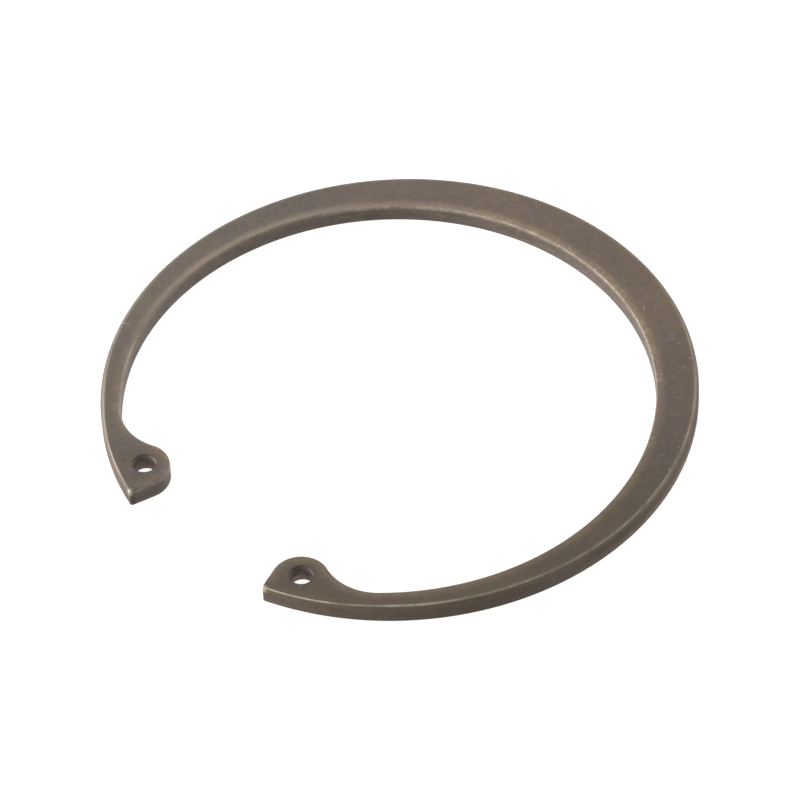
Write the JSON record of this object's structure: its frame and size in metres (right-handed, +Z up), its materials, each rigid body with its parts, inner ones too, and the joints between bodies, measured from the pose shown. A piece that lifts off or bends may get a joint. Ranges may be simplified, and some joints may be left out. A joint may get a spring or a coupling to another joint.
{
  "type": "internal retaining ring",
  "caption": "Flat eccentric spring-steel snap ring for a bore, open at one side, with a plier hole in the lug at each end.",
  "frame": {"origin": "centre of the outer rim circle, on the underside", "axes": "+Z up through the ring's thickness, out of the rounder blanked face; the gap faces -Y and the widest part is at +Y; +X to the right"},
  "size_m": [0.0904, 0.0882, 0.003],
  "materials": {
    "spring_steel": "phosphated and oiled, dull brown-grey, worn lighter along the edges"
  },
  "bodies": {
    "root": {"retaining_ring": "spring_steel"}
  },
  "joints": []
}
